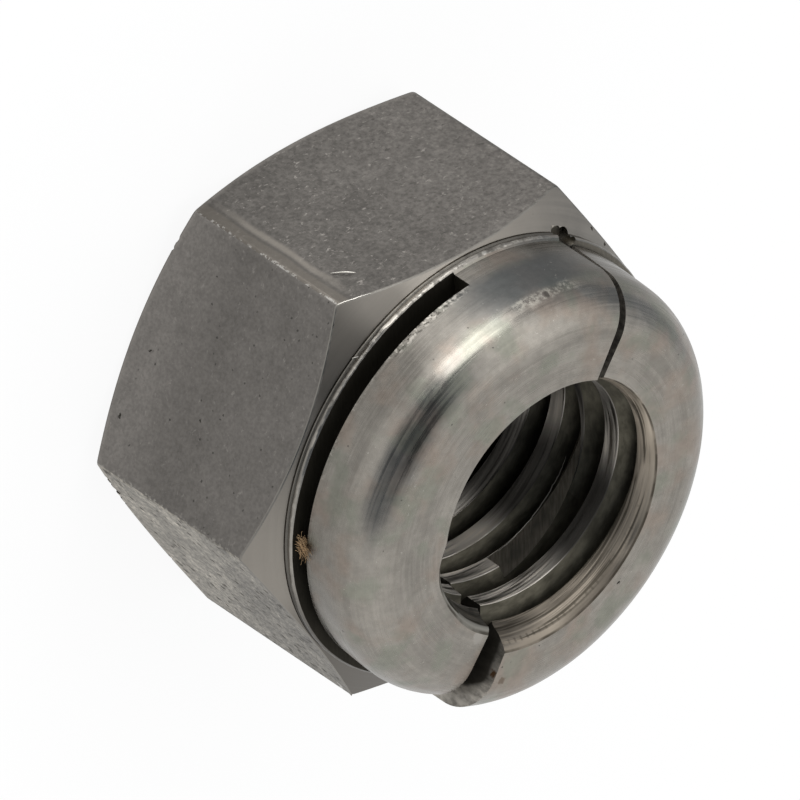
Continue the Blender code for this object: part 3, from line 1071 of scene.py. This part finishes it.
@dataclass
class Thread:
    """The tapped bore, with a fine burr along both edges of the crest.

    A row of the profile gives radius and height from the mouth's edge, in millimetres, plain and then stepped.
    """

    finishes: Finishes
    pitch: float = 1.75 * MM
    crest_radius: float = 5.2 * MM
    root_radius: float = 6.0 * MM
    crest_width: float = 0.78 * MM
    crest_at_zero: float = 7.76 * MM
    top: float = TOP * MM
    burr: float = 0.004 * MM
    lid: float = 0.33 * MM
    base_mouth_radius: float = 6.4 * MM
    segments: int = 120
    rims: tuple[Rim, ...] = (
        Rim(-116.0, 6.26), Rim(-100.0, 6.21), Rim(-80.0, 6.16), Rim(-35.0, 6.12), Rim(-15.0, 6.0), Rim(0.0, 5.88, 0.9),
        Rim(20.0, 5.80, 0.7), Rim(57.0, 5.70, 0.6), Rim(57.1, 5.40, 0.25), Rim(90.0, 5.32, 0.2), Rim(120.0, 5.25, 0.2),
        Rim(150.0, 5.17, 0.15), Rim(172.0, 5.15, 0.2), Rim(183.0, 5.46, 0.6, 0.3), Rim(192.0, 5.57, 0.7, 0.6),
        Rim(212.0, 5.57, 0.8, 0.8), Rim(230.0, 5.70, 0.9, 1.0), Rim(243.9, 5.78, 0.9, 1.0), Rim(244.0, 6.26),
    )
    profile: tuple[tuple[float, float, float, float], ...] = (
        (-1.25, -1.75, -1.25, -1.75), (-0.66, -1.05, -0.62, -1.05), (-0.46, -0.58, -0.36, -0.62),
        (-0.20, -0.20, -0.28, -0.17), (-0.08, -0.07, -0.21, -0.10), (0.0, -0.008, 0.0, -0.012),
        (0.10, 0.03, 0.10, 0.03),
    )

    def turn(self) -> list[tuple[float, float]]:
        """Give height and radius along one turn of the thread, from the middle of its crest."""
        half, crest, root = self.crest_width / 2.0, self.crest_radius, self.pitch / 2.0
        return [
            (-half - 0.36 * MM, crest + 0.69 * MM), (-half - 0.04 * MM, crest + 0.06 * MM),
            (-half + 0.02 * MM, crest - self.burr), (-half + 0.08 * MM, crest - self.burr),
            (-half + 0.15 * MM, crest + 0.005 * MM), (0.0, crest + 0.002 * MM), (half - 0.15 * MM, crest + 0.005 * MM),
            (half - 0.08 * MM, crest - self.burr), (half - 0.02 * MM, crest - self.burr),
            (half + 0.012 * MM, crest + 0.022 * MM), (half + 0.36 * MM, crest + 0.69 * MM),
            (root - 0.09 * MM, self.root_radius - 0.03 * MM), (root, self.root_radius),
            (root + 0.09 * MM, self.root_radius - 0.03 * MM),
        ]

    def tap(self) -> Piece:
        """Make the solid that the tap takes out: a right-hand screw, longer than the nut.

        Returns:
            The closed cutter.
        """
        lowest = math.floor((-2.5 * MM - self.crest_at_zero) / self.pitch)
        highest = math.ceil((self.top + 0.6 * MM - self.crest_at_zero) / self.pitch)
        points = [(radius, self.crest_at_zero + number * self.pitch + rise)
                  for number in range(lowest, highest + 1) for rise, radius in self.turn()]
        start, low = points[0]
        high = low + (highest - lowest + 1) * self.pitch
        Bench.chain([(0.0, low), *points, (start, high), (0.0, high)])
        cutter = Bench.settle("tap")
        Bench.apply(cutter, "SCREW", axis="Z", angle=math.tau, screw_offset=self.pitch, steps=self.segments,
                    render_steps=self.segments, use_merge_vertices=False)
        bpy.ops.object.mode_set(mode="EDIT")
        bpy.ops.mesh.select_all(action="SELECT")
        bpy.ops.mesh.remove_doubles(threshold=0.0005 * MM)
        bpy.ops.mesh.select_all(action="DESELECT")
        bpy.ops.mesh.select_mode(type="EDGE")
        bpy.ops.mesh.select_non_manifold(extend=False, use_wire=False, use_multi_face=False,
                                         use_non_contiguous=False, use_verts=False)
        bpy.ops.mesh.edge_face_add()
        Bench.face_out()
        bpy.ops.object.mode_set(mode="OBJECT")
        Bench.dress(cutter, self.finishes.thread, self.finishes.crest)
        for face in cutter.data.polygons:
            face.material_index = 1 if face.center.xy.length < self.crest_radius + 0.035 * MM else 0
        for vertex in cutter.data.vertices:
            edge = self.rim(azimuth_of(vertex.co)).edge * MM - 0.12 * MM
            if vertex.co.z > self.top - self.lid and vertex.co.xy.length > edge:
                vertex.co.xy *= edge / vertex.co.xy.length
        return cutter

    def rim(self, azimuth: float) -> Rim:
        """Give the mouth's rim at an azimuth in degrees, between the rows of the table.

        Args:
            azimuth: The azimuth.

        Returns:
            The rim there.
        """
        first = self.rims[0].azimuth
        turned = (azimuth - first) % 360.0 + first
        for low, high in zip(self.rims, self.rims[1:]):
            if low.azimuth <= turned <= high.azimuth:
                share = (turned - low.azimuth) / (high.azimuth - low.azimuth)
                return Rim(*(start + share * (end - start) for start, end in zip(astuple(low), astuple(high))))
        return self.rims[-1]

    def mouths(self) -> list[Piece]:
        """Make the countersinks of both faces. The collar's follows the table of rims.

        Returns:
            The two cutters.
        """
        top, nominal = self.top, 6.0
        points = [((nominal + row[0]) * MM, top + row[1] * MM) for row in self.profile]
        points = [(0.0, points[0][1]), *points, (points[-1][0], top + MM), (0.0, top + MM)]
        upper = Bench.turned("collar_mouth", points, self.segments * 2)
        upper.rotation_euler.z = math.radians(0.43)
        Bench.settle("collar_mouth")
        for vertex in upper.data.vertices:
            radius = vertex.co.xy.length
            if radius < MM:
                continue
            rim = self.rim(azimuth_of(vertex.co))
            row = min(self.profile, key=lambda each: abs(top + each[1] * MM - vertex.co.z))
            offset = row[0] + rim.stepped * (row[2] - row[0])
            if vertex.co.z < top + 0.5 * MM:
                vertex.co.z = top + (row[1] + rim.stepped * (row[3] - row[1])) * MM
            vertex.co.xy *= (rim.edge + offset * (rim.width if offset < 0.0 else 1.0)) * MM / radius
        mouth = self.base_mouth_radius
        reach = mouth - self.crest_radius + 0.2 * MM
        lower = Bench.turned("base_mouth", [
            (0.0, -1.0 * MM), (mouth + 1.0 * MM, -1.0 * MM), (mouth, 0.0), (mouth - reach, reach), (0.0, reach),
        ], self.segments)
        return [Bench.dress(upper, self.finishes.sunk), Bench.dress(lower, self.finishes.chamfer)]


@dataclass
class Arms:
    """The cuts that free the two arms of the collar, and the bend that is left in them.

    An arm's bend is the drop and the inward shift of its tip, and its tilt there.
    """

    finishes: Finishes
    slit_azimuth: float = SLIT_AZIMUTH
    slit_width: float = 0.82 * MM
    slit_offset: float = SLIT_OFFSET * MM
    slit_floor: float = 9.93 * MM
    root_span: float = 34.8
    slot_floor: float = 10.52 * MM
    slot_ceiling: float = SLOT_CEILING * MM
    top: float = TOP * MM
    left: tuple[float, float, float] = (0.55 * MM, 0.17 * MM, 0.09)
    right: tuple[float, float, float] = (0.32 * MM, 0.23 * MM, -0.056)
    exponent: float = 1.05
    middle_radius: float = 7.28 * MM
    middle_height: float = 13.16 * MM
    sag: float = 0.6 * MM
    flare: float = 0.1 * MM
    lobe_radius: float = 0.28 * MM
    lobe_places: tuple[tuple[float, float], ...] = ((9.36, -0.27), (9.34, -0.65))

    @property
    def across(self) -> Vector:
        """Direction across the slit, towards the left half."""
        return polar(1.0, self.slit_azimuth + 90.0)

    def slot(self, name: str, start: float) -> Piece:
        """Make the flat sector that frees one arm.

        Args:
            name: Name of the cutter.
            start: Azimuth of the arm's root.

        Returns:
            The cutter.
        """
        end = start + 180.0 - self.root_span
        Bench.clear()
        bpy.ops.mesh.primitive_cylinder_add(vertices=180, radius=12.0 * MM, depth=self.slot_ceiling - self.slot_floor,
                                            location=(0.0, 0.0, (self.slot_floor + self.slot_ceiling) / 2.0))
        cutter = Bench.settle(name)
        bpy.ops.object.mode_set(mode="EDIT")
        for normal in (polar(1.0, start + 90.0), polar(1.0, end - 90.0)):
            bpy.ops.mesh.select_all(action="SELECT")
            bpy.ops.mesh.bisect(plane_co=(0.0, 0.0, 0.0), plane_no=normal, use_fill=True, clear_inner=True,
                                threshold=1e-7)
        Bench.face_out()
        bpy.ops.object.mode_set(mode="OBJECT")
        return Bench.dress(cutter, self.finishes.slotted)

    def lobes(self) -> list[Piece]:
        """Make the cutters of the two round pecks in which the slit runs out on the hexagon.

        Returns:
            The cutters.
        """
        cutters = []
        for along, across in self.lobe_places:
            place = polar(along * MM, self.slit_azimuth) + self.across * (across * MM)
            Bench.clear()
            bpy.ops.mesh.primitive_cylinder_add(vertices=24, radius=self.lobe_radius, depth=1.3 * MM,
                                                location=(place.x, place.y, 10.35 * MM))
            cutters.append(Bench.dress(Bench.settle("lobe"), self.finishes.slotted))
        return cutters

    def slit(self) -> Piece:
        """Make the cutter of the saw cut across the whole collar.

        Returns:
            The cutter.
        """
        Bench.clear()
        height = self.top + 1.0 * MM - self.slit_floor
        centre = self.across * -self.slit_offset
        bpy.ops.mesh.primitive_cube_add(size=1.0, location=(centre.x, centre.y, self.slit_floor + height / 2.0),
                                        rotation=(0.0, 0.0, math.radians(self.slit_azimuth)),
                                        scale=(24.0 * MM, self.slit_width, height))
        return Bench.dress(Bench.settle("slit"), self.finishes.sawn)

    def bent(self, point: Vector) -> Vector:
        """Give where the bend carries a point of the collar.

        Args:
            point: A point of the nut before the arms are bent.

        Returns:
            The same point in the bent arm, or as it was where it is in neither arm.
        """
        radius = point.xy.length
        if point.z < self.slot_ceiling - 0.001 * MM or radius < MM:
            return point.copy()
        is_left = point.dot(self.across) > -self.slit_offset
        drop, shift, tilt = self.left if is_left else self.right
        root = self.slit_azimuth + self.root_span + (0.0 if is_left else 180.0)
        travelled = (azimuth_of(point) - root) % 360.0
        span = 180.0 - self.root_span
        if travelled > span + self.root_span / 2.0:
            out = 0.0 if is_left else self.flare * (360.0 - travelled) / self.root_span
            return Vector((point.x * (1.0 + out / radius), point.y * (1.0 + out / radius), point.z))
        share = (travelled / span) ** self.exponent
        moved = radius + share * (tilt * (point.z - self.middle_height) - shift)
        height = point.z - share * (drop + tilt * (radius - self.middle_radius))
        if not is_left:
            low = max(0.0, 1.0 - (point.z - self.slot_ceiling) / (1.6 * MM))
            begun = min(1.0, max(0.0, (share - 0.3) / 0.42))
            height -= self.sag * begun * begun * (3.0 - 2.0 * begun) * low * low
        return Vector((point.x * moved / radius, point.y * moved / radius, height))

    def bend(self, nut: Piece) -> None:
        """Bend both arms, and keep where each point was in an attribute.

        Args:
            nut: The nut with all its cuts.
        """
        made_at = nut.data.attributes.new(MADE_AT, "FLOAT_VECTOR", "POINT")
        for vertex, kept in zip(nut.data.vertices, made_at.data):
            kept.vector = vertex.co / MM
        for vertex in nut.data.vertices:
            vertex.co = self.bent(vertex.co)
        nut.data.update()


@dataclass
class Burrs:
    """Threads of torn metal that still hang on the nut's edges, drawn as tapered strands through points in mm."""

    finishes: Finishes
    thickness: float = 0.027 * MM
    strands: tuple[tuple[Point, ...], ...] = (
        ((-5.62, 9.50, 9.20), (-5.30, 9.52, 9.26), (-4.95, 9.51, 9.35), (-4.60, 9.52, 9.43), (-4.20, 9.50, 9.53)),
        ((-4.50, 9.51, 7.52), (-4.25, 9.56, 7.75), (-4.02, 9.58, 7.98), (-3.78, 9.53, 8.16)),
        ((-5.75, 7.50, 10.12), (-5.60, 7.57, 10.26), (-5.40, 7.62, 10.39)),
        ((-5.2, 7.84, 10.3), (-5.05, 7.98, 10.38), (-4.85, 8.08, 10.36)),
    )
    lip: tuple[float, float] = (281.0, 333.0)
    lip_place: tuple[float, float] = (5.21, 10.56)
    lip_thickness: float = 0.02 * MM
    lip_steps: int = 40

    def build(self) -> list[Piece]:
        """Draw every strand, and the burr along the lower edge of the right arm's slot in the bore.

        Returns:
            The strands, still apart from the nut.
        """
        pieces = []
        for number, points in enumerate(self.strands):
            fine = self.smooth([Vector(point) * MM for point in points])
            strand = Bench.wires(f"burr_{number}", [self.tapered(fine)], self.thickness, 1)
            pieces.append(Bench.dress(strand, self.finishes.burr))
        start, end = self.lip
        radius, height = self.lip_place
        edge = []
        for step in range(self.lip_steps + 1):
            azimuth = start + (end - start) * step / self.lip_steps
            wander = noise.noise(Vector((azimuth * 0.35, 2.0, 5.0))) * 0.03
            edge.append(polar((radius + wander) * MM, azimuth, (height + wander) * MM))
        strand = Bench.wires("lip_burr", [self.tapered(edge)], self.lip_thickness, 1)
        return [*pieces, Bench.dress(strand, self.finishes.worn)]

    @staticmethod
    def tapered(points: Sequence[Vector]) -> list[tuple[Vector, float]]:
        """Give each point its share of the full thickness, so that both ends are thin."""
        last = len(points) - 1
        return [(point, 0.35 + 0.65 * math.sin(math.pi * number / last)) for number, point in enumerate(points)]

    @staticmethod
    def smooth(points: Sequence[Vector]) -> list[Vector]:
        """Round a line off, as a thin wire would bend.

        Args:
            points: The points that it goes through.

        Returns:
            Three points for each of them but the last.
        """
        ends = [points[0], *points, points[-1]]
        fine = []
        for before, start, end, after in zip(ends, ends[1:], ends[2:], ends[3:]):
            for step in range(3):
                share = step / 3.0
                square, cube = share * share, share ** 3
                fine.append(0.5 * (2.0 * start + (end - before) * share
                                   + (2.0 * before - 5.0 * start + 4.0 * end - after) * square
                                   + (3.0 * start - before - 3.0 * end + after) * cube))
        return [*fine, points[-1]]


@dataclass
class Lint:
    """A tuft of brown fibres caught in the slot of the left arm."""

    azimuth: float = 176.0
    radius: float = 9.25 * MM
    low: float = 10.60 * MM
    fibres: int = 80
    steps: int = 7
    thickness: float = 0.011 * MM
    colour: Colour = (0.34, 0.225, 0.12)

    def fibre(self, chance: random.Random) -> list[tuple[Vector, float]]:
        """Give the points of one wavy fibre.

        Args:
            chance: Source of the fibre's place and bends.

        Returns:
            Its points, each with its share of the full thickness.
        """
        azimuth = self.azimuth + chance.gauss(0.0, 1.1)
        radius = self.radius + chance.uniform(-0.3, 0.05) * MM
        height = self.low + chance.uniform(0.0, 0.15) * MM
        rise = chance.uniform(0.35, 0.72) * MM
        lean = chance.uniform(-1.6, 1.6)
        out = chance.uniform(0.0, 0.35) * MM
        points = []
        for step in range(self.steps + 1):
            share = step / self.steps
            place = polar(radius + out * share * share + 0.06 * MM * math.sin(4.0 * share + lean),
                          azimuth + lean * share + 0.5 * math.sin(5.0 * share + radius / MM), height + rise * share)
            points.append((place, 1.0 - 0.4 * share))
        return points

    def build(self) -> Piece:
        """Make the tuft.

        Returns:
            The fibres as one piece.
        """
        chance = random.Random(7)
        lint = Bench.wires("lint", [self.fibre(chance) for _ in range(self.fibres)], self.thickness, 0)
        bpy.ops.object.shade_smooth()
        material = bpy.data.materials.new("lint")
        tree = Tree(material)
        shader = tree.nodes["Principled BSDF"]
        tree.wire(self.colour, shader.inputs["Base Color"])
        shader.inputs["Roughness"].default_value = 0.9
        Bench.dress(lint, material)
        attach(lint, "root")
        return lint


@dataclass
class LockNut:
    """The nut itself, in one piece."""

    finishes: Finishes

    def build(self) -> Piece:
        """Make the nut and put it in the place of the plain solid.

        Returns:
            The finished piece.
        """
        hexagon, thread, arms = Hexagon(self.finishes), Thread(self.finishes), Arms(self.finishes)
        nut = hexagon.blank()
        Bench.combine(nut, Collar(self.finishes).blank(), Cut.JOIN)
        root = arms.slit_azimuth + arms.root_span
        for tool in (thread.tap(), *thread.mouths(), arms.slot("left_slot", root),
                     arms.slot("right_slot", root + 180.0), arms.slit(), *arms.lobes()):
            Bench.combine(nut, tool, Cut.TAKE_AWAY)
        burrs = Burrs(self.finishes).build()
        Bench.take(nut)
        for burr in burrs:
            burr.select_set(True)
        bpy.ops.object.join()
        arms.bend(nut)
        Bench.take(nut)
        bpy.ops.object.shade_smooth_by_angle(angle=math.radians(24.0))
        Bench.apply(nut, "WEIGHTED_NORMAL", keep_sharp=True)
        self.true_up(nut, hexagon)
        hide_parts("lock_nut")
        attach(nut, "root")
        return nut

    @staticmethod
    def true_up(nut: Piece, hexagon: Hexagon) -> None:
        """Give the flats and chamfers of the hexagon the normals of the plane or cone that they are part of.

        Args:
            nut: The finished shape.
            hexagon: The hexagon that it was made from.
        """
        mesh = nut.data
        normals = [corner.vector.copy() for corner in mesh.corner_normals]
        for face in mesh.polygons:
            name = mesh.materials[face.material_index].name
            if name.startswith("flat") and face.area > 4.0 * MM * MM:
                for corner in face.loop_indices:
                    normals[corner] = face.normal.copy()
            elif name == "turned_chamfer" and face.center.xy.length > hexagon.foot_radius - 0.6 * MM:
                slope = hexagon.collar_chamfer if face.normal.z > 0.0 else -hexagon.bearing_chamfer
                rise = math.copysign(math.cos(math.radians(slope)), face.normal.z)
                out = abs(math.sin(math.radians(slope)))
                if abs(face.normal.z - rise) > 0.02:
                    continue
                for corner in face.loop_indices:
                    place = mesh.vertices[mesh.loops[corner].vertex_index].co
                    normals[corner] = polar(out, azimuth_of(place), rise)
        mesh.normals_split_custom_set(normals)


@dataclass(frozen=True)
class Glow:
    """A brighter or darker side of the surroundings: its heading, the angles over which it fades, and its gain."""

    azimuth: float
    elevation: float
    inner: float
    outer: float
    gain: float


@dataclass
class Studio:
    """A pale floor, soft light and the camera at the photograph's angle.

    The lens is as long as the view from other sides allows, because the photograph has hardly any perspective.
    """

    toward_camera: Point = (-0.5186, 0.6041, 0.6050)
    up: Point = (0.4137, 0.7960, -0.4419)
    distance: float = 1.4626
    lens: float = 1700.0
    aim_right: float = 3.51 * MM
    aim_up: float = -2.08 * MM
    axis_point: Point = (0.0, 0.0, 0.87 * MM)
    sides: tuple[Glow, ...] = (
        Glow(44.0, 61.0, 12.0, 45.0, 0.85), Glow(150.0, 46.0, 19.0, 50.0, -0.92), Glow(18.0, 5.0, 12.0, 55.0, -0.62),
        Glow(120.0, 84.0, 6.0, 30.0, -0.75), Glow(152.0, 5.0, 3.0, 24.0, 0.5), Glow(-145.0, 50.0, 20.0, 60.0, 0.18),
    )
    # painted light and shade in the floor's glow for reflections: darker below the nut, brighter towards the key
    painted_floor_glows: tuple[Glow, ...] = (
        Glow(0.0, -90.0, 45.0, 85.0, -0.28), Glow(95.0, -6.0, 6.0, 28.0, 1.9), Glow(92.0, -36.0, 5.0, 20.0, 0.3),
        Glow(28.0, -12.0, 12.0, 42.0, -0.35), Glow(152.0, -3.0, 3.0, 24.0, 0.35),
    )
    eye_level: float = 12.0 * MM
    floor_colour: Colour = (0.85, 0.85, 0.85)
    cool: Colour = (0.82, 0.94, 1.10)

    def camera(self) -> None:
        """Place the long lens, rolled as in the photograph."""
        back = Vector(self.toward_camera).normalized()
        right = Vector(self.up).cross(back).normalized()
        up = back.cross(right)
        target = Vector(self.axis_point) + right * self.aim_right + up * self.aim_up
        data = bpy.data.cameras.new("camera")
        data.lens = self.lens
        data.sensor_width = 36.0
        data.clip_start, data.clip_end = 1.0 * MM, 20.0
        camera = bpy.data.objects.new("camera", data)
        bpy.context.scene.collection.objects.link(camera)
        turned = Matrix((right, up, back)).transposed().to_4x4()
        camera.matrix_world = Matrix.Translation(target + back * self.distance) @ turned
        bpy.context.scene.camera = camera

    @staticmethod
    def sum_up(tree: Tree, heading: Socket, base: float, glows: Sequence[Glow]) -> Socket:
        """Add glows to a base strength.

        Args:
            tree: The nodes that they are added to.
            heading: Direction from the nut, of length one.
            base: Strength where no glow reaches.
            glows: The glows.

        Returns:
            The strength by direction.
        """
        total: object = base
        for glow in glows:
            rise = math.radians(glow.elevation)
            middle = polar(math.cos(rise), glow.azimuth, math.sin(rise))
            total = tree.maths("ADD", tree.lobe(heading, middle, glow.inner, glow.outer, glow.gain), total)
        return total

    def floor(self) -> None:
        """Lay the floor, white to the camera, with a soft shadow of the nut; in reflections it glows by direction,
        with painted light and painted shade.
        """
        Bench.clear()
        bpy.ops.mesh.primitive_plane_add(size=6.0)
        floor = Bench.settle("floor")
        material = bpy.data.materials.new("floor")
        tree = Tree(material)
        tree.nodes.clear()
        seen = tree.node("LightPath", "Is Camera Ray", {})
        mirrored = tree.node("LightPath", "Is Glossy Ray", {})
        place = tree.node("TexCoord", "Object", {})
        heading = tree.vector("NORMALIZE", tree.vector("SUBTRACT", place, (0.0, 0.0, self.eye_level)))
        # painted light and shade: the floor's glow for reflections varies by direction
        strength = self.sum_up(tree, heading, 0.95, self.painted_floor_glows)
        strength = tree.node("Mix", 0, {"Factor": seen, 2: strength, 3: 1.02})
        diffuse = tree.node("BsdfDiffuse", 0, {"Color": self.floor_colour})
        glow = tree.node("Emission", 0, {"Color": WHITE, "Strength": strength})
        share = tree.times(tree.maths("MAXIMUM", seen, mirrored), 0.9)
        mix = tree.node("MixShader", 0, {0: share, 1: diffuse, 2: glow})
        tree.wire(mix, tree.nodes.new("ShaderNodeOutputMaterial").inputs["Surface"])
        Bench.dress(floor, material)

    def light(self, name: str, direction: Point, distance: float, size: tuple[float, float], power: float) -> None:
        """Hang one softbox that faces the nut.

        Args:
            name: Name of the lamp.
            direction: Where it hangs, seen from the nut.
            distance: How far away it hangs, in metres.
            size: Its width and height, in metres.
            power: Its power, in watts.
        """
        data = bpy.data.lights.new(name, "AREA")
        data.shape = "RECTANGLE"
        data.size, data.size_y = size
        data.energy = power
        lamp = bpy.data.objects.new(name, data)
        lamp.visible_camera = False
        bpy.context.scene.collection.objects.link(lamp)
        place = Vector(direction).normalized() * distance + Vector((0.0, 0.0, 7.0 * MM))
        lamp.matrix_world = Matrix.Translation(place) @ Vector(direction).to_track_quat("Z", "Y").to_matrix().to_4x4()

    def surroundings(self) -> None:
        """Set the world: white behind the nut, and for the nut a soft room with brighter and cooler, darker sides."""
        world = bpy.data.worlds.new("studio")
        bpy.context.scene.world = world
        tree = Tree(world)
        tree.nodes.clear()
        total = self.sum_up(tree, tree.node("TexCoord", "Generated", {}), 1.0, self.sides)
        strength = tree.maths("MAXIMUM", total, 0.05)
        tint = tree.node("Mix", 2, {"Factor": strength, 6: self.cool, 7: WHITE}, data_type="RGBA", clamp_factor=True)
        around = tree.node("Background", 0, {"Color": tint, "Strength": strength})
        behind = tree.node("Background", 0, {"Color": WHITE, "Strength": 1.0})
        seen = tree.node("LightPath", "Is Camera Ray", {})
        mix = tree.node("MixShader", 0, {0: seen, 1: around, 2: behind})
        tree.wire(mix, tree.nodes.new("ShaderNodeOutputWorld").inputs["Surface"])

    def build(self) -> None:
        """Set up the whole studio."""
        self.camera()
        self.floor()
        self.surroundings()
        self.light("key", (-0.03, 1.0, 0.045), 0.4, (0.27, 0.43), 1.5)
        bpy.context.scene.view_settings.view_transform = "Standard"


def main() -> None:
    """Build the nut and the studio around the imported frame."""
    logging.basicConfig(level=logging.INFO, format="%(message)s")
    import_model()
    for piece in (LockNut(Finishes()).build(), Lint().build()):
        LOG.info("%s: %d faces", piece.name, len(piece.data.polygons))
    Studio().build()
    LOG.info("studio is set")


if __name__ == "__main__":
    main()
